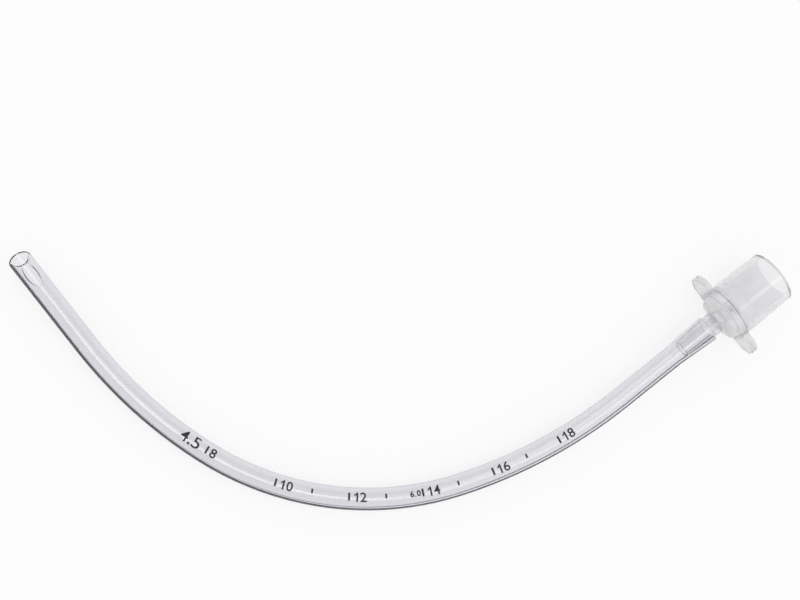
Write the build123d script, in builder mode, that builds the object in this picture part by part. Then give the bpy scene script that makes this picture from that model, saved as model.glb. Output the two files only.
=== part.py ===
"""Uncuffed endotracheal tube, 4.5 mm bore and 6.0 mm outside, with its 15 mm connector.

The shaft is one extruded tube, moulded to a flat curve, with its patient end at the left,
a line of opaque plastic let into its convex side, and its machine end stretched over the
connector's spigot. It lies as it would come to rest on a table, and the plane of its curve
rises a little towards the connector, which is thicker than the shaft.
"""
import os
from math import cos, radians, sin, tan

from build123d import *

os.makedirs("parts", exist_ok=True)

# Shaft section, in millimetres as all lengths here
bore_diameter = 4.5
shaft_diameter = 6.0
line_depth = 0.35
line_arc = 30
line_overshoot = 0.5

# Curve of the shaft, from the patient end: first straight, bends as radius and turn, last straight
first_straight = 28.9
bends = [(122, 19.5), (82, 49), (139.5, 21)]
last_straight = 18.8
first_heading = -52.4

# Where the curve lies: its plane rises by this angle towards this heading in plan
plane_rise = 2.72
rise_heading = 58.5
tip_place = (-103.605, 33.07, 3.883)

# Patient end: a bevel on the underside, with an eye through the upper wall opposite it
bevel_angle = 59
bevel_roll = 8
rim_chamfer = 0.18
eye_length = 6.8
eye_width = 2.8
eye_from_tip = 6.7

# Machine end, stretched over the spigot
stretched_length = 9.2
lead_in = 2.6
stretched_wall = 0.68
lead_in_thinning = 0.05

# Connector, along its axis from the shaft's machine end
spigot_tip_diameter = 4.9
spigot_root_diameter = 6.4
spigot_exposed = 3.1
spigot_bore = 3.9
shoulder_diameter = 13.2
shoulder_start = 4.1
flange_start = 5.45
flange_thickness = 2.1
flange_diameter = 15.9
lug_span = 25.9
lug_width = 8.2
lug_turn = 10
cone_length = 16.5
cone_mouth_diameter = 15.2
cone_taper = 1 / 40
cone_bore = 12.3
socket_floor = 8.6
lip_chamfer = 0.45
shoulder_slope = 0.5
funnel_length = 2.6
spigot_bore_draft = 0.15
lug_chamfer = 0.35
flange_chamfer = 0.35
mouth_chamfer = 0.2

shaft_radius = shaft_diameter / 2
bore_radius = bore_diameter / 2
flange_end = flange_start + flange_thickness
mouth = flange_end + cone_length
cone_root_diameter = cone_mouth_diameter + cone_length * cone_taper

# Plane of the curve, with its x to the right of the part and its z up out of the curve
lean = tan(radians(plane_rise))
lean_x = lean * cos(radians(rise_heading))
lean_y = lean * sin(radians(rise_heading))
bend_plane = Plane(origin=tip_place, x_dir=(1, 0, lean_x), z_dir=(-lean_x, -lean_y, 1))

# Centre line of the shaft up to the stretched end
with BuildLine(bend_plane) as centre_line:
    stretch = PolarLine((0, 0), first_straight, first_heading)
    for radius, turn in bends:
        stretch = JernArc(stretch @ 1, stretch % 1, radius, turn)
    Line(stretch @ 1, (stretch @ 1) + (stretch % 1) * last_straight)
shaft_path = centre_line.wires()[0]

# Section plane at the patient end: x up out of the curve, y to its convex side
tip_plane = Plane(origin=shaft_path @ 0, x_dir=bend_plane.z_dir, z_dir=shaft_path % 0)

# Planes through the machine end's axis, with x along it and zero where the stretched end stops
machine_axis = shaft_path % 1
rim_centre = (shaft_path @ 1) + machine_axis * (lead_in + stretched_length)
upright = Plane(origin=rim_centre, x_dir=machine_axis, z_dir=machine_axis.cross(bend_plane.z_dir))
axle = Axis(rim_centre, machine_axis)


def spigot_radius(place):
    """Outer radius of the spigot at a place along the axis, from the shaft's end."""
    share = (place + stretched_length) / (spigot_exposed + stretched_length)
    return (spigot_tip_diameter + share * (spigot_root_diameter - spigot_tip_diameter)) / 2


# Outline of the stretched end, outside and inside, as places along the axis and radii
stretched_outside = [
    (-stretched_length - lead_in, shaft_radius),
    (-stretched_length, spigot_radius(-stretched_length) + shaft_radius - bore_radius - lead_in_thinning),
    (0, spigot_radius(0) + stretched_wall),
]
stretched_inside = [
    (0, spigot_radius(0)),
    (-stretched_length, spigot_radius(-stretched_length)),
    (-stretched_length - lead_in, bore_radius),
]

# Bevel at the patient end, whose high point is rolled a little to the convex side
roll = radians(bevel_roll)
tip_high = tip_plane.x_dir * cos(roll) + tip_plane.y_dir * sin(roll)
slope = radians(bevel_angle)
bevel_plane = Plane(
    origin=tip_plane.origin + tip_high * shaft_radius,
    z_dir=tip_plane.z_dir * sin(slope) + tip_high * cos(slope),
)
eye_plane = Plane(
    origin=tip_plane.origin + tip_plane.z_dir * eye_from_tip,
    x_dir=tip_plane.z_dir,
    z_dir=bend_plane.z_dir,
)

# The line's two edges, seen along the shaft
line_half = radians(line_arc / 2)
wedge_reach = shaft_radius + 2 * line_overshoot
wedge_half = wedge_reach * tan(line_half)
convex_side = machine_axis.cross(bend_plane.z_dir)
line_edge_direction = bend_plane.z_dir * sin(line_half) + convex_side * cos(line_half)
line_edge = Plane(
    origin=rim_centre, x_dir=machine_axis, z_dir=machine_axis.cross(line_edge_direction)
)

# Outline of the connector, as places along its axis and radii
flange_corner = (flange_start, flange_diameter / 2)
mouth_corner = (mouth, cone_mouth_diameter / 2)
connector_outside = [
    (-stretched_length, spigot_radius(-stretched_length)),
    (spigot_exposed, spigot_radius(spigot_exposed)),
    (shoulder_start, shoulder_diameter / 2 - shoulder_slope),
    (flange_start, shoulder_diameter / 2),
    flange_corner,
    (flange_end, flange_diameter / 2),
    (flange_end, cone_root_diameter / 2),
    mouth_corner,
]
connector_inside = [
    (-stretched_length, spigot_bore / 2),
    (socket_floor - funnel_length, spigot_bore / 2 + spigot_bore_draft),
    (socket_floor, cone_bore / 2),
    (mouth - lip_chamfer, cone_bore / 2),
    (mouth, cone_bore / 2 + lip_chamfer),
]
raised = radians(lug_turn)
lug_plane = Plane(
    origin=rim_centre + machine_axis * flange_start,
    x_dir=convex_side * cos(raised) + bend_plane.z_dir * sin(raised),
    z_dir=machine_axis,
)


# Shaft before the line is let in
with BuildPart() as shaft_blank:
    with BuildSketch(tip_plane):
        Circle(shaft_radius)
        Circle(bore_radius, mode=Mode.SUBTRACT)
    sweep(path=shaft_path)
    with BuildSketch(upright):
        with BuildLine():
            Polyline(*stretched_outside, *stretched_inside, close=True)
        make_face()
    revolve(axis=axle)
    # The bevel leaves the upper wall long, and its rim is broken inside and out
    split(bisect_by=bevel_plane, keep=Keep.TOP)
    rim = shaft_blank.faces().filter_by(bevel_plane)
    chamfer(rim.edges(), rim_chamfer)
    # The eye goes through the upper wall only
    with BuildSketch(eye_plane):
        Ellipse(eye_length / 2, eye_width / 2)
    extrude(amount=shaft_diameter, mode=Mode.SUBTRACT)

# Room that the line takes up in the outer skin of the shaft, reaching a little outside it
with BuildPart() as line_room:
    with BuildSketch(tip_plane):
        Circle(shaft_radius + line_overshoot)
        Circle(shaft_radius - line_depth, mode=Mode.SUBTRACT)
        with BuildLine():
            Polyline((0, 0), (-wedge_half, wedge_reach), (wedge_half, wedge_reach), close=True)
        make_face(mode=Mode.INTERSECT)
    sweep(path=shaft_path)
    with BuildSketch(line_edge):
        with BuildLine():
            Polyline(
                *[(place, radius - line_depth) for place, radius in stretched_outside],
                *[(place, radius + line_overshoot) for place, radius in reversed(stretched_outside)],
                close=True,
            )
        make_face()
    revolve(axis=axle, revolution_arc=line_arc)

with BuildPart() as radiopaque_line:
    add(shaft_blank.part)
    add(line_room.part, mode=Mode.INTERSECT)

with BuildPart() as tube:
    add(shaft_blank.part)
    add(line_room.part, mode=Mode.SUBTRACT)

with BuildPart() as connector:
    # The two finger lugs are the ends of one rounded bar across the axis
    with BuildSketch(lug_plane):
        SlotOverall(lug_span, lug_width)
    extrude(amount=flange_thickness)
    chamfer(connector.edges(), lug_chamfer)
    # Spigot, shoulder, flange and tapered socket, turned as one
    with BuildSketch(upright):
        with BuildLine():
            Polyline(*connector_outside, (mouth, 0), (-stretched_length, 0), close=True)
        make_face()
        chamfer(vertices().sort_by_distance(flange_corner)[0], flange_chamfer)
        chamfer(vertices().sort_by_distance(mouth_corner)[0], mouth_chamfer)
    revolve(axis=axle)
    # Bore of the spigot, opening by a funnel into the socket
    with BuildSketch(upright):
        with BuildLine():
            Polyline(*connector_inside, (mouth, 0), (-stretched_length, 0), close=True)
        make_face()
    revolve(axis=axle, mode=Mode.SUBTRACT)

tube.part.label = "tube"
radiopaque_line.part.label = "radiopaque_line"
connector.part.label = "connector"
export_step(tube.part, "parts/tube.step")
export_step(radiopaque_line.part, "parts/radiopaque_line.step")
export_step(connector.part, "parts/connector.step")
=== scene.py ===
# %% [markdown]
# # An uncuffed endotracheal tube
#
# This small airway tube has three solids, which come from the CAD model: a clear soft PVC shaft, a
# dark line of filled PVC let into its convex side, and a frosted polypropylene connector. They set
# the form, so Blender's work here is light: what makes clear plastic look like plastic is what it
# bends, mirrors and dims. The shaft and the connector are drawn again as finer meshes, because
# light that crosses a wall shows each facet of it. These follow the solids to within 0.3 mm, with
# roundings where the solids have chamfers. The one new piece is the depth scale, which is ink
# printed on the shaft.

# %% Load the solids as a fixed frame
from math import asin, atan2, cos, pi, radians, sin, tan

import bmesh
import bpy
import numpy as np
from mathutils import Matrix, Vector


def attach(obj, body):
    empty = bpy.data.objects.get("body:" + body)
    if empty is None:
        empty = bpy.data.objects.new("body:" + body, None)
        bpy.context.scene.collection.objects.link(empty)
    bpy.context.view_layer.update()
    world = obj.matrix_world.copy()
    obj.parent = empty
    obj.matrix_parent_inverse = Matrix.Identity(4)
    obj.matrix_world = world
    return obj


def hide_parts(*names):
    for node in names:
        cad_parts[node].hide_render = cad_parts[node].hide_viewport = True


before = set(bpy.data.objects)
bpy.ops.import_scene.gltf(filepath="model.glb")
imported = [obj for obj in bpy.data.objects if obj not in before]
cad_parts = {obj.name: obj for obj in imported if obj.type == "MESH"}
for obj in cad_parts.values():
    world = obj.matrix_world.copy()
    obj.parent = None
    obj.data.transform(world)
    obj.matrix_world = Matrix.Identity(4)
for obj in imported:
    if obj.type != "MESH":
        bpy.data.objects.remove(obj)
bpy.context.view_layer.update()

mm = 0.001
for name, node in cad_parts.items():
    print(name, len(node.data.vertices), "points,", len(node.data.polygons), "faces")

# %% [markdown]
# ## Helpers for colours and nodes
#
# Colours are written as they look on a screen, in sRGB hex, while Blender mixes light in linear
# numbers, so one function turns the first into the second. Materials are graphs of nodes. One
# function adds a node with its settings and its links, and four short ones add the kinds that come
# up again and again, which keeps each graph readable as a list.

# %% Colour and node helpers
def linear(hex_colour):
    """A colour such as E8EAEC as linear red, green, blue and an alpha of 1."""
    shares = [int(hex_colour[i:i + 2], 16) / 255 for i in (0, 2, 4)]
    return [s / 12.92 if s <= 0.04045 else ((s + 0.055) / 1.055) ** 2.4 for s in shares] + [1]


def new_material(name):
    """An empty material, ready for its nodes."""
    material = bpy.data.materials.new(name)
    material.use_nodes = True
    material.node_tree.nodes.clear()
    return material


def add_node(tree, kind, settings={}, values={}, links={}):
    """Adds a node, sets its properties and its sockets' values, and links outputs in."""
    node = tree.nodes.new(kind)
    for key, value in settings.items():
        setattr(node, key, value)
    for key, value in values.items():
        node.inputs[key].default_value = value
    for key, (source, output) in links.items():
        tree.links.new(source.outputs[output], node.inputs[key])
    return node


def add_maths(tree, operation, *inputs):
    """Adds a node that reckons with numbers and with other nodes' outputs, given as pairs."""
    numbers = {k: item for k, item in enumerate(inputs) if not isinstance(item, tuple)}
    outputs = {k: item for k, item in enumerate(inputs) if isinstance(item, tuple)}
    return add_node(tree, "ShaderNodeMath", {"operation": operation}, numbers, outputs)


def add_noise(tree, where, size, detail):
    """Adds noise with features of about this size, in the object's own coordinates."""
    return add_node(tree, "ShaderNodeTexNoise", values={"Scale": 1 / size, "Detail": detail},
                    links={"Vector": (where, "Object")})


def add_tint(tree, first, second, noise):
    """Adds a colour that wanders between two, as a noise does."""
    return add_node(tree, "ShaderNodeMix", {"data_type": "RGBA"},
                    {"A": linear(first), "B": linear(second)}, {"Factor": (noise, 0)})


def add_range(tree, source, low, high, start=0, end=1):
    """Adds a value that goes from low to high while its source goes from start to end."""
    return add_node(tree, "ShaderNodeMapRange",
                    values={"From Min": start, "From Max": end, "To Min": low, "To Max": high},
                    links={"Value": source})


print("a mid grey on a screen is", round(linear("808080")[0], 3), "in linear light")

# %% [markdown]
# ## Helpers for objects
#
# An object only shows once it is linked into the scene. A piece that was built point by point
# becomes a mesh first. Smooth shading would bulge a large flat face beside a small rounding, so
# the normals are weighted by the size of the faces, and real edges stay sharp.

# %% Object helpers
sharp_angle = radians(40)


def new_object(name, data):
    """An object with this data, linked into the scene."""
    made = bpy.data.objects.new(name, data)
    bpy.context.scene.collection.objects.link(made)
    return made


def new_piece(name, shape):
    """An object made from a finished bmesh, with a mesh of the same name."""
    mesh = bpy.data.meshes.new(name)
    shape.to_mesh(mesh)
    shape.free()
    return new_object(name, mesh)


def smooth_skin(piece):
    """Shades a piece smoothly, and keeps its real edges and its large flat faces."""
    piece.data.polygons.foreach_set("use_smooth", [True] * len(piece.data.polygons))
    piece.data.set_sharp_from_angle(angle=sharp_angle)
    weighted = piece.modifiers.new("weighted_normals", "WEIGHTED_NORMAL")
    weighted.keep_sharp = True


print("edges are sharp from a radian measure of", round(sharp_angle, 2))

# %% [markdown]
# ## The curve that everything follows
#
# The shaft was extruded straight and then set to a flat curve: a straight, three bends that meet
# smoothly, and a straight. It lies in one plane, which rises a little to the right, because the
# connector is thicker than the shaft. The camera and the printing both start from this plane and
# this line, so they are worked out once here, from the same few numbers as the solids.

# %% Plane and centre line of the shaft
tip_place = Vector((-103.605, 33.07, 3.883)) * mm
plane_rise = radians(2.72)
rise_heading = radians(58.5)
shaft_radius = 3.0 * mm

lean_x = tan(plane_rise) * cos(rise_heading)
lean_y = tan(plane_rise) * sin(rise_heading)
plane_right = Vector((1, 0, lean_x)).normalized()
plane_normal = Vector((-lean_x, -lean_y, 1)).normalized()
plane_up = plane_normal.cross(plane_right)

# Lengths and radii in millimetres, and turns in degrees to the left
first_heading = radians(-52.4)
first_straight = 28.9
bends = ((122, 19.5), (82, 49), (139.5, 21))
last_straight = 30.6
runs = [(first_straight, 0)]
runs += [(radius * radians(turn), turn) for radius, turn in bends]
runs.append((last_straight, 0))


def along_shaft(distance):
    """Place, direction and convex side of the centre line, at a distance from the patient tip."""
    x, y, heading = 0.0, 0.0, first_heading
    left = distance
    for length, turn in runs:
        step = min(left, length * mm)
        bend = radians(turn) * step / (length * mm)
        chord = step * sin(bend / 2) / (bend / 2) if bend else step
        x += chord * cos(heading + bend / 2)
        y += chord * sin(heading + bend / 2)
        heading += bend
        left -= step
    direction = plane_right * cos(heading) + plane_up * sin(heading)
    return tip_place + plane_right * x + plane_up * y, direction, direction.cross(plane_normal)


print("the shaft is", round(sum(length for length, turn in runs), 1), "mm long")

# %% [markdown]
# ## Camera
#
# The camera was fitted to the photograph. It looks down on the tube from about half a metre, 12
# degrees off square, so the connector's mouth shows as an ellipse and its cone looks a little
# wide. A longer lens from further away would flatten that. The lens follows from the distance: at
# 86 mm, the 210 mm part fills the width of the picture.

# %% Camera at the photograph's angle
camera_distance = 503 * mm
camera_tilt = radians(12)
focal_length = 85.79
aim_right = 99.52
aim_down = 11.69
aim = tip_place + plane_right * aim_right * mm - plane_up * aim_down * mm
toward_camera = plane_normal * cos(camera_tilt) - plane_right * sin(camera_tilt)
camera_right = plane_up.cross(toward_camera)

camera = new_object("camera", bpy.data.cameras.new("camera"))
camera.data.lens = focal_length
camera.data.sensor_width = 36
camera.data.sensor_fit = "HORIZONTAL"
camera.data.clip_start = 0.01
camera.location = aim + toward_camera * camera_distance
camera.rotation_euler = Matrix((camera_right, plane_up, toward_camera)).transposed().to_euler()
bpy.context.scene.camera = camera
bpy.context.scene.view_settings.view_transform = "Standard"
print("camera at", [round(value, 3) for value in camera.location])

# %% [markdown]
# ## Floor and light
#
# Clear plastic shows its surroundings, so these are half of its material. It lies on a white
# table under one wide soft lamp and a pale room. The lamp draws the bright line that runs along
# the shaft, and the room, which is a little greyer than the table, draws its edges. Part of the
# table's white is its own light, for sight and for mirrored and bent rays alike, so that it stays
# white to the edge of the picture and still takes the part's shadow.

# %% White table
table_half = 3.0
table_glow = 0.8

floor_paint = new_material("white_table")
tree = floor_paint.node_tree
paint = add_node(tree, "ShaderNodeBsdfDiffuse", values={"Color": linear("F4F4F4")})
glow = add_node(tree, "ShaderNodeEmission", values={"Color": linear("FFFFFF"), "Strength": 1.0})
path = add_node(tree, "ShaderNodeLightPath")
seen = add_maths(tree, "MAXIMUM", (path, "Is Camera Ray"), (path, "Is Glossy Ray"))
seen = add_maths(tree, "MAXIMUM", (seen, 0), (path, "Is Transmission Ray"))
share = add_maths(tree, "MULTIPLY", (seen, 0), table_glow)
mixed = add_node(tree, "ShaderNodeMixShader", links={0: (share, 0), 1: (paint, 0), 2: (glow, 0)})
add_node(tree, "ShaderNodeOutputMaterial", links={"Surface": (mixed, 0)})

floor_corners = [(-table_half, -table_half, 0), (table_half, -table_half, 0),
                 (table_half, table_half, 0), (-table_half, table_half, 0)]
floor_mesh = bpy.data.meshes.new("table")
floor_mesh.from_pydata(floor_corners, [], [(0, 1, 2, 3)])
floor_mesh.materials.append(floor_paint)
table = new_object("table", floor_mesh)
print("table", 2 * table_half, "m wide")

# %% Lamp and room
lamp_height = 1.0
lamp_down = 0.08
lamp_right = 0.3

lamp = new_object("softbox", bpy.data.lights.new("softbox", "AREA"))
lamp.data.shape = "RECTANGLE"
lamp.data.size = 0.8
lamp.data.size_y = 0.45
lamp.data.energy = 1.75
lamp.location = (tip_place + plane_normal * lamp_height - plane_up * lamp_down
                 + plane_right * lamp_right)
lamp.rotation_euler = Matrix((plane_right, plane_up, plane_normal)).transposed().to_euler()

room = bpy.data.worlds.new("pale_room")
room.use_nodes = True
room.node_tree.nodes.clear()
air = add_node(room.node_tree, "ShaderNodeBackground",
               values={"Color": linear("F4F4F6"), "Strength": 0.95})
add_node(room.node_tree, "ShaderNodeOutputWorld", links={"Surface": (air, 0)})
bpy.context.scene.world = room
print("lamp of", lamp.data.energy, "W over a pale room")

# %% [markdown]
# ## The shaft's wall
#
# Clear plastic shows every flat facet of its surface twice over, in what it mirrors and in what it
# bends, so the shaft is built again here as a much finer mesh. Each column of the mesh is one
# closed outline of the wall at one turn around the shaft: out along the skin, round the machine
# rim, back along the bore and round the bevelled tip. Neighbouring columns are joined by quads. On
# the convex side the skin steps in by a hair less than the line's depth, so that clear and filled
# PVC overlap slightly, and light can't find an air gap where the real ones are fused. Over the
# spigot it is the other way round: a hair of air lies between shaft and connector, because two
# clear walls that overlap would bend light twice.

# %% Wall along the shaft
line_depth = 0.34 * mm
line_half = radians(14.8)
stretched_length = 9.2 * mm
lead_in = 2.6 * mm

shaft_length = sum(length for length, turn in runs) * mm
stretched = shaft_length - stretched_length
lead = stretched - lead_in

# Radii where the lead-in starts, where the stretched end starts, and at the machine rim
knees = (lead, stretched, shaft_length)
skin_radii = (shaft_radius, 3.15 * mm, 3.691 * mm)
bore_radii = (2.25 * mm, 2.46 * mm, 3.021 * mm)


def outer_radius(place):
    """Radius of the skin, which widens over the connector's spigot."""
    return np.interp(place, knees, skin_radii)


def inner_radius(place):
    """Radius of the bore, which clears the spigot by a hair where it is stretched."""
    return np.interp(place, knees, bore_radii)


def on_shaft(place, turn, radius):
    """A point beside the centre line, with turns counted from the top to the convex side."""
    centre, direction, convex = along_shaft(place)
    return centre + (plane_normal * cos(turn) + convex * sin(turn)) * radius


print("the wall is", round((outer_radius(0) - inner_radius(0)) / mm, 2), "mm thick")

# %% Rows along the wall
rim_rounding = 0.12 * mm
tip_rounding = 0.29 * mm
corner = [radians(a) for a in (0, 22.5, 45, 67.5, 90)]

# Close together from the tip to past the eye, and then at one pitch along the bends
window_end = 12 * mm
near_rows = 24
row_pitch = 1.2 * mm
lead_rows = 5
stretched_rows = 8
far_places = list(np.arange(window_end, lead, row_pitch))
far_places += list(np.linspace(lead, stretched, lead_rows)[:-1])
far_places += list(np.linspace(stretched, shaft_length - rim_rounding, stretched_rows)[:-1])
print(near_rows + len(far_places), "rows on each side of the wall")

# %% Outline of the wall at one turn
bevel_slope = tan(radians(59))
bevel_roll = radians(8)


def bevel(turn, radius):
    """How far from the tip the bevel cuts the wall."""
    return (shaft_radius - radius * cos(turn - bevel_roll)) / bevel_slope


def wall_rows(turn, radius_at, step):
    """Places and radii of one side of the wall, from just behind the bevel to the rim."""
    first = bevel(turn, radius_at(0) + step) + tip_rounding
    near = [first + (window_end - first) * k / near_rows for k in range(near_rows)]
    return [(place, radius_at(place) + step) for place in near + far_places]


def outline(turn, depth):
    """Closed outline of the wall at one turn, as places and radii, from the tip's outer corner."""
    points = wall_rows(turn, outer_radius, -depth)
    high, low = outer_radius(shaft_length) - depth, inner_radius(shaft_length)
    back = [shaft_length - rim_rounding * (1 - sin(a)) for a in corner]
    drop = [rim_rounding * (1 - cos(a)) for a in corner]
    points += [(place, high - fall) for place, fall in zip(back, drop)]
    points += [(place, low + fall) for place, fall in zip(back[::-1], drop[::-1])]
    points += wall_rows(turn, inner_radius, 0)[::-1]

    low, high = inner_radius(0), outer_radius(0) - depth
    tip_radii = [low + tip_rounding * (1 - cos(a)) for a in corner[1:]]
    tip_radii += [high - tip_rounding * (1 - cos(a)) for a in corner[:0:-1]]
    lifts = [tip_rounding * (1 - sin(a)) for a in corner[1:]]
    lifts += lifts[::-1]
    return points + [(bevel(turn, radius) + lift, radius)
                     for radius, lift in zip(tip_radii, lifts)]


# Columns around the shaft: free skin first, and then the bed of the line
free_columns = 82
line_columns = 9
line_margin = line_half * 0.998
free_turns = np.linspace(pi / 2 + line_half, 2 * pi + pi / 2 - line_half, free_columns)
line_turns = np.linspace(pi / 2 - line_margin, pi / 2 + line_margin, line_columns)
columns = [(turn, 0) for turn in free_turns] + [(turn, line_depth) for turn in line_turns]
outlines = [outline(turn, depth) for turn, depth in columns]
print(len(columns), "columns of", len(outlines[0]), "points")

# %% [markdown]
# ## The eye
#
# The side eye is a second way for air if the bevel is blocked. It is punched straight down through
# the upper wall, so its outline is an ellipse from above. The mesh gets it without a boolean, which
# would leave long thin faces that show in clear plastic: a window of the grid is left open, and
# each point of its edge is led to the point of the ellipse at the same angle, down through the
# wall, and back out to the window of the bore.

# %% Size of the eye and its window in the grid
eye_place = 6.7 * mm
eye_half_length = 3.4 * mm
eye_half_width = 1.4 * mm
eye_rounding = 0.12 * mm
window_reach = radians(51)
first_row, last_row = 5, 21

window_columns = [j for j, (turn, depth) in enumerate(columns)
                  if abs(turn - 2 * pi) < window_reach]
first_column, last_column = window_columns[0], window_columns[-1]
# The bore's rows run back, so a row of the skin and its twin in the bore have this sum
twin_sum = 2 * (near_rows + len(far_places)) + 2 * len(corner) - 1


def in_window(row, column, reach=0):
    """True inside the window, in the skin or in the bore."""
    rows = (row, twin_sum - row - reach)
    return first_column + 1 - reach <= column < last_column and any(
        first_row + 1 - reach <= r < last_row for r in rows)


def eye_point(angle, growth, radius):
    """A point of the eye's edge, grown by a little where the edge is rounded."""
    side = asin((eye_half_width + growth) * sin(angle) / radius)
    return eye_place + (eye_half_length + growth) * cos(angle), 2 * pi + side


print("the window is", last_column - first_column, "columns wide")

# %% Grid of the wall with its window left open
wall = bmesh.new()
grid = [[None if in_window(row, column) else wall.verts.new(on_shaft(place, turn, radius))
         for row, (place, radius) in enumerate(points)]
        for column, ((turn, depth), points) in enumerate(zip(columns, outlines))]
count = len(outlines[0])
for column in range(len(columns)):
    here, beside = grid[column], grid[(column + 1) % len(columns)]
    for row in range(count):
        above = (row + 1) % count
        if not in_window(row, column, 1):
            wall.faces.new((here[row], here[above], beside[above], beside[row]))
print("grid:", len(wall.faces), "faces")

# %% Wall of the eye
ring_shares = (0.3, 0.6, 0.83)
edge = [(row, first_column) for row in range(first_row, last_row)]
edge += [(last_row, column) for column in range(first_column, last_column)]
edge += [(row, last_column) for row in range(last_row, first_row, -1)]
edge += [(first_row, column) for column in range(last_column, first_column, -1)]

grown = [eye_rounding * (1 - sin(a)) for a in corner]
fallen = [eye_rounding * (1 - cos(a)) for a in corner]
eye_profile = [(growth, shaft_radius - fall) for growth, fall in zip(grown, fallen)]
eye_profile += [(growth, inner_radius(0) + fall)
                for growth, fall in zip(grown[::-1], fallen[::-1])]

chains = []
for row, column in edge:
    turn = columns[column][0]
    place = outlines[column][row][0]
    angle = atan2(shaft_radius * sin(turn) / eye_half_width, (place - eye_place) / eye_half_length)
    ends = []
    for at, radius in ((row, shaft_radius), (twin_sum - row, inner_radius(0))):
        rim_place, rim_turn = eye_point(angle, eye_rounding, radius)
        from_place = outlines[column][at][0]
        between = [wall.verts.new(on_shaft(from_place + (rim_place - from_place) * share,
                                           turn + (rim_turn - turn) * share, radius))
                   for share in ring_shares]
        ends.append([grid[column][at]] + between)
    middle = []
    for growth, radius in eye_profile:
        rim_place, rim_turn = eye_point(angle, growth, radius)
        middle.append(wall.verts.new(on_shaft(rim_place, rim_turn, radius)))
    chains.append(ends[0] + middle + ends[1][::-1])
for chain, following in zip(chains, chains[1:] + chains[:1]):
    for k in range(len(chain) - 1):
        wall.faces.new((chain[k], chain[k + 1], following[k + 1], following[k]))
bmesh.ops.recalc_face_normals(wall, faces=wall.faces)

clear_shaft = new_piece("clear_shaft", wall)
smooth_skin(clear_shaft)
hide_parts("tube")
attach(clear_shaft, "root")
print("shaft:", len(clear_shaft.data.polygons), "faces")

# %% [markdown]
# ## Clear PVC
#
# The shaft is plasticised PVC, extruded through a polished die: IOR 1.53, glossy, a trace of haze,
# and a cool grey cast that grows with the thickness that light has to cross, so it is absorption in
# the volume and not paint on the skin. The wall is solid geometry with a real bore, so the edges
# darken and the bore's lines appear by themselves. Extruding leaves faint long waves, drawn here
# as a bump about 4 mm long and a micron or two high.

# %% Material of the shaft
clear_pvc = new_material("clear_extruded_pvc")
tree = clear_pvc.node_tree
where = add_node(tree, "ShaderNodeTexCoord")
waves = add_noise(tree, where, 4 * mm, 2.0)
bump = add_node(tree, "ShaderNodeBump", values={"Strength": 0.03, "Distance": 0.05 * mm},
                links={"Height": (waves, 0)})
haze = add_range(tree, (waves, 0), 0.03, 0.08)
tint = add_tint(tree, "FDFDFD", "FAFAFB", waves)
skin = add_node(tree, "ShaderNodeBsdfPrincipled",
                values={"IOR": 1.53, "Transmission Weight": 1.0},
                links={"Base Color": (tint, 2), "Roughness": (haze, 0), "Normal": (bump, 0)})
cast = add_node(tree, "ShaderNodeVolumeAbsorption",
                values={"Color": linear("BCBACB"), "Density": 0.24 / mm})
add_node(tree, "ShaderNodeOutputMaterial", links={"Surface": (skin, 0), "Volume": (cast, 0)})
clear_shaft.data.materials.append(clear_pvc)
print(clear_pvc.name, "has", len(tree.nodes), "nodes")

# %% [markdown]
# ## Radiopaque PVC
#
# The line shows the tube on an X-ray. It is the same PVC, filled with barium sulphate and a
# blue-black pigment, so it is opaque and a little duller than the clear wall around it.

# %% Material of the line
radiopaque_pvc = new_material("barium_filled_pvc")
tree = radiopaque_pvc.node_tree
where = add_node(tree, "ShaderNodeTexCoord")
grain = add_noise(tree, where, 0.8 * mm, 3.0)
tint = add_tint(tree, "3C4258", "484E66", grain)
shine = add_range(tree, (grain, 0), 0.45, 0.6)
skin = add_node(tree, "ShaderNodeBsdfPrincipled", values={"IOR": 1.54, "Specular IOR Level": 0.25},
                links={"Base Color": (tint, 2), "Roughness": (shine, 0)})
add_node(tree, "ShaderNodeOutputMaterial", links={"Surface": (skin, 0)})
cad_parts["radiopaque_line"].material_slots[0].material = radiopaque_pvc
print(radiopaque_pvc.name, "has", len(tree.nodes), "nodes")

# %% [markdown]
# ## The connector
#
# The connector is one moulding: a spigot that the shaft is stretched over, a shoulder, a flange
# with two finger lugs, and the 15 mm cone with its socket. It is built the same way as the shaft,
# as columns of closed outlines, here around the connector's own axis. All columns are alike except
# for the flange's edge, which reaches out along the lugs: seen along the axis, it is the outer edge
# of a disc and a round-ended bar laid over each other.

# %% Axis of the connector and edge of its flange
rim_centre, axis, convex = along_shaft(shaft_length)
lug_turn = radians(10)
along_lugs = convex * cos(lug_turn) + plane_normal * sin(lug_turn)
across_lugs = axis.cross(along_lugs)
flange_radius = 7.95 * mm
lug_reach = 8.85 * mm
lug_radius = 4.1 * mm
web = 0.6 * mm
least_sine = 0.01


def flange_edge(turn):
    """Distance of the flange's edge from the axis, at one turn from the line of the lugs."""
    ahead, aside = abs(cos(turn)), abs(sin(turn))
    bar = lug_radius / max(aside, least_sine)
    if bar * ahead > lug_reach:
        bar = lug_reach * ahead + (lug_radius ** 2 - (lug_reach * aside) ** 2) ** 0.5
    blend = max(web - abs(bar - flange_radius), 0)
    return max(bar, flange_radius) + blend ** 2 / (4 * web)


print("flange from", round(flange_edge(pi / 2) / mm, 2), "to", round(flange_edge(0) / mm, 2), "mm")

# %% Rounded outline of one column
# Places along the axis in millimetres, from the shaft's machine rim
spigot_tip, spigot_root, shoulder = -9.2, 3.1, 4.1
flange_start, flange_end = 5.45, 7.55
mouth, lip = 24.05, 23.6
socket_floor, funnel = 8.6, 6.0


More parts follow.
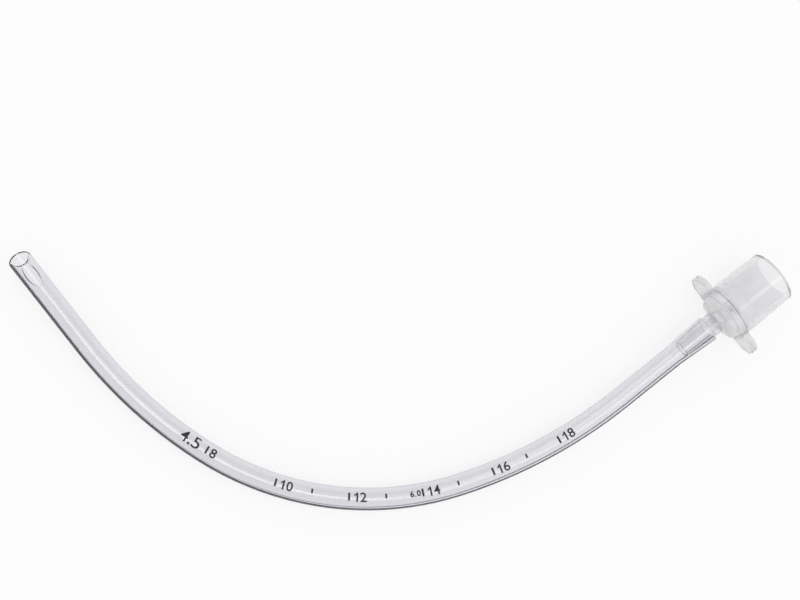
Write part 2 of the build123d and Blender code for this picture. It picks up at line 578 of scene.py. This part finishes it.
def rounded(corners, steps=5):
    """A closed outline with rounded corners, from places, radii and roundings in millimetres."""
    points = []
    for k, (place, radius, rounding) in enumerate(corners):
        here = Vector((place, radius))
        before = Vector(corners[k - 1][:2]) - here
        after = Vector(corners[(k + 1) % len(corners)][:2]) - here
        half_angle = before.angle(after) / 2
        reach = rounding / tan(half_angle)
        start, end = here + before.normalized() * reach, here + after.normalized() * reach
        inward = (before.normalized() + after.normalized()).normalized()
        centre = here + inward * (rounding / sin(half_angle))
        for step in range(steps + 1):
            ray = (start - centre).lerp(end - centre, step / steps).normalized()
            points.append((centre + ray * rounding) * mm)
    return points


def connector_outline(turn):
    """Closed outline of the connector at one turn: outside to the mouth, and back inside."""
    edge = flange_edge(turn) / mm
    return rounded([
        (spigot_tip, 2.45, 0.12), (spigot_root, 3.2, 0.3),
        (shoulder, 6.1, 0.3), (flange_start, 6.6, 0.15),
        (flange_start, edge, 0.4), (flange_end, edge, 0.4),
        (flange_end, 7.8, 0.2), (mouth, 7.6, 0.34),
        (mouth, 6.6, 0.05), (lip, 6.15, 0.05),
        (socket_floor, 6.15, 0.6), (funnel, 2.1, 0.5), (spigot_tip, 1.95, 0.12)])


print("each column of the connector has", len(connector_outline(0)), "points")

# %% Mesh of the connector
connector_columns = 180
connector = bmesh.new()
rings = []
for column in range(connector_columns):
    turn = 2 * pi * column / connector_columns
    away = along_lugs * cos(turn) + across_lugs * sin(turn)
    rings.append([connector.verts.new(rim_centre + axis * place + away * radius)
                  for place, radius in connector_outline(turn)])
for ring, following in zip(rings, rings[1:] + rings[:1]):
    for k in range(len(ring)):
        connector.faces.new((ring[k - 1], ring[k], following[k], following[k - 1]))
bmesh.ops.recalc_face_normals(connector, faces=connector.faces)

moulded_connector = new_piece("moulded_connector", connector)
smooth_skin(moulded_connector)
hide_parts("connector")
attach(moulded_connector, "root")
print("connector:", len(moulded_connector.data.polygons), "faces")

# %% [markdown]
# ## Frosted polypropylene
#
# The connector is injection moulded. Natural polypropylene is milky, because its crystals scatter
# light, and the mould's spark-eroded walls leave a fine frost. So light passes through it, but
# blurred: a rough transmission, over a pale body colour for the part that scatters back. The thin
# walls of the spigot and the cone cool fast in the mould and stay clearer than the thick flange, so
# the milkiness is drawn as a gradient that fades with the distance from the flange, and a slower
# one that keeps the spigot, the thinnest wall, the clearest.

# %% Material of the connector
flange_place = rim_centre.dot(axis) + 6.5 * mm
milky_from, milky_to = 1 * mm, 7 * mm
thin_from, thin_to = flange_place - 7 * mm, flange_place + 6 * mm

frosted_pp = new_material("frosted_moulded_polypropylene")
tree = frosted_pp.node_tree
where = add_node(tree, "ShaderNodeTexCoord")
cloud = add_noise(tree, where, 3 * mm, 3.0)
frost = add_noise(tree, where, 0.25 * mm, 2.0)
bump = add_node(tree, "ShaderNodeBump", values={"Strength": 0.15, "Distance": 0.02 * mm},
                links={"Height": (frost, 0)})
tint = add_tint(tree, "FBFBFC", "F7F7F8", cloud)
along = add_node(tree, "ShaderNodeVectorMath", {"operation": "DOT_PRODUCT"}, {1: axis},
                 {0: (where, "Object")})
beside = add_maths(tree, "SUBTRACT", (along, "Value"), flange_place)
beside = add_maths(tree, "ABSOLUTE", (beside, 0))
matte = add_range(tree, (beside, 0), 0.1, 0.04, milky_from, milky_to)
clear = add_range(tree, (beside, 0), 0.66, 0.9, milky_from, milky_to)
thinner = add_range(tree, (along, "Value"), 1.09, 0.89, thin_from, thin_to)
clear = add_maths(tree, "MULTIPLY", (clear, 0), (thinner, 0))
skin = add_node(tree, "ShaderNodeBsdfPrincipled", values={"IOR": 1.49},
                links={"Base Color": (tint, 2), "Roughness": (matte, 0), "Normal": (bump, 0),
                       "Transmission Weight": (clear, 0)})
add_node(tree, "ShaderNodeOutputMaterial", links={"Surface": (skin, 0)})
moulded_connector.data.materials.append(frosted_pp)
print(frosted_pp.name, "has", len(tree.nodes), "nodes")

# %% [markdown]
# ## Depth scale
#
# Black marks every 10 mm tell how deep the tube lies: a long tick with its number at the even
# centimetres, and a short tick at the odd ones from 11 on. The bore and the outside are printed
# among them. A picture on the surface would do, but ink that is real geometry stays sharp at any
# size. So the scale is set flat as type, with x along the shaft and y around it, cut into narrow
# strips, and then rolled onto the curved shaft point by point.

# %% Ticks, laid flat
ink_thickness = 0.02 * mm
scale_offset = -9.8 * mm
long_tick = (0.55 * mm, 2.1 * mm)
short_tick = (0.5 * mm, 1.25 * mm)
short_tick_rise = 0.2 * mm

flat = bmesh.new()


def flat_shape(corners):
    """A thin slab of ink with these corners."""
    lower, upper = [[flat.verts.new((x, y, z)) for x, y in corners] for z in (0, ink_thickness)]
    flat.faces.new(upper)
    flat.faces.new(lower[::-1])
    for k in range(len(corners)):
        flat.faces.new((lower[k - 1], lower[k], upper[k], upper[k - 1]))


def flat_tick(place, width, height, middle):
    """A tick across the shaft, centred on a place."""
    x, y = width / 2, height / 2
    flat_shape([(place - x, middle - y), (place + x, middle - y),
                (place + x, middle + y), (place - x, middle + y)])


print("ticks", long_tick[0] / mm, "and", short_tick[0] / mm, "mm wide")

# %% Figures, laid flat
# Widths in shares of the height
figure_width = 0.66
figure_bearing = 0.04
figure_advance = 0.76
point_advance = 0.36

# The figure one has a flag but no foot, and is drawn here, like the point
one = [(0.57, 0), (0.57, 1), (0.46, 1), (0.34, 0.84), (0.17, 0.73), (0.17, 0.57),
       (0.3, 0.63), (0.39, 0.72), (0.39, 0)]
point = [(0.06, 0), (0.26, 0), (0.26, 0.2), (0.06, 0.2)]


def flat_figure(figure, place, height, weight):
    """A figure in Blender's own typeface, made a little wider, that starts at a place."""
    type_curve = bpy.data.curves.new("type", "FONT")
    type_curve.body = figure
    type_curve.extrude = 0.5
    type_curve.offset = weight
    type_curve.resolution_u = 4
    holder = new_object("type", type_curve)
    bpy.context.view_layer.update()
    evaluated = holder.evaluated_get(bpy.context.evaluated_depsgraph_get())
    mesh = bpy.data.meshes.new_from_object(evaluated)
    low = [min(vert.co[k] for vert in mesh.vertices) for k in (0, 1)]
    high = [max(vert.co[k] for vert in mesh.vertices) for k in (0, 1)]
    for vert in mesh.vertices:
        across = (vert.co.x - low[0]) / (high[0] - low[0]) * height * figure_width
        upward = ((vert.co.y - low[1]) / (high[1] - low[1]) - 0.5) * height
        vert.co = Vector((place + across, upward, (vert.co.z + 0.5) * ink_thickness))
    flat.from_mesh(mesh)
    bpy.data.objects.remove(holder)
    bpy.data.meshes.remove(mesh)


def flat_number(number, place, height, weight=0.015):
    """A number, figure by figure, whose weight thickens the typeface's strokes."""
    for figure in number:
        if figure in "1.":
            drawn = one if figure == "1" else point
            flat_shape([(place + x * height, (y - 0.5) * height) for x, y in drawn])
        else:
            flat_figure(figure, place + figure_bearing * height, height, weight)
        place += height * (point_advance if figure == "." else figure_advance)


print("a figure is", figure_width, "of its height wide")

# %% The whole scale, laid flat
figure_height = 2.6 * mm
figure_gap = 0.95 * mm
for centimetre in (8, 10, 11, 12, 13, 14, 15, 16, 17, 18):
    place = centimetre * 10 * mm + scale_offset
    if centimetre % 2 == 0:
        flat_tick(place, *long_tick, 0)
        flat_number(str(centimetre), place + figure_gap, figure_height)
    else:
        flat_tick(place, *short_tick, short_tick_rise)

# The two sizes of the shaft, in millimetres: its bore before the 8, and its outside before the 14
bore_height, bore_back = 3.2 * mm, 8.0 * mm
outside_height, outside_back = 1.65 * mm, 3.6 * mm
flat_number("4.5", 80 * mm + scale_offset - bore_back, bore_height, 0.005)
flat_number("6.0", 140 * mm + scale_offset - outside_back, outside_height, 0.035)
print("the flat scale has", len(flat.verts), "points")

# %% Cut the flat scale and roll it onto the shaft
strip = 0.2 * mm
strips = 9
ink_gap = 0.01 * mm
print_turn = radians(-15)
for step in range(-strips, strips + 1):
    everything = flat.verts[:] + flat.edges[:] + flat.faces[:]
    bmesh.ops.bisect_plane(flat, geom=everything, plane_co=(0, step * strip, 0),
                           plane_no=(0, 1, 0))
for vert in flat.verts:
    turn = print_turn - vert.co.y / shaft_radius
    vert.co = on_shaft(vert.co.x, turn, shaft_radius + ink_gap + vert.co.z)
depth_scale = new_piece("depth_scale", flat)
print("ink:", len(depth_scale.data.polygons), "faces")

# %% Ink
ink = new_material("black_printing_ink")
tree = ink.node_tree
where = add_node(tree, "ShaderNodeTexCoord")
mottle = add_noise(tree, where, 0.3 * mm, 2.0)
tint = add_tint(tree, "0C0C0E", "1A1A1D", mottle)
shine = add_range(tree, (mottle, 0), 0.3, 0.5)
skin = add_node(tree, "ShaderNodeBsdfPrincipled", values={"IOR": 1.5},
                links={"Base Color": (tint, 2), "Roughness": (shine, 0)})
add_node(tree, "ShaderNodeOutputMaterial", links={"Surface": (skin, 0)})
depth_scale.data.materials.append(ink)
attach(depth_scale, "root")
print(ink.name, "has", len(tree.nodes), "nodes")
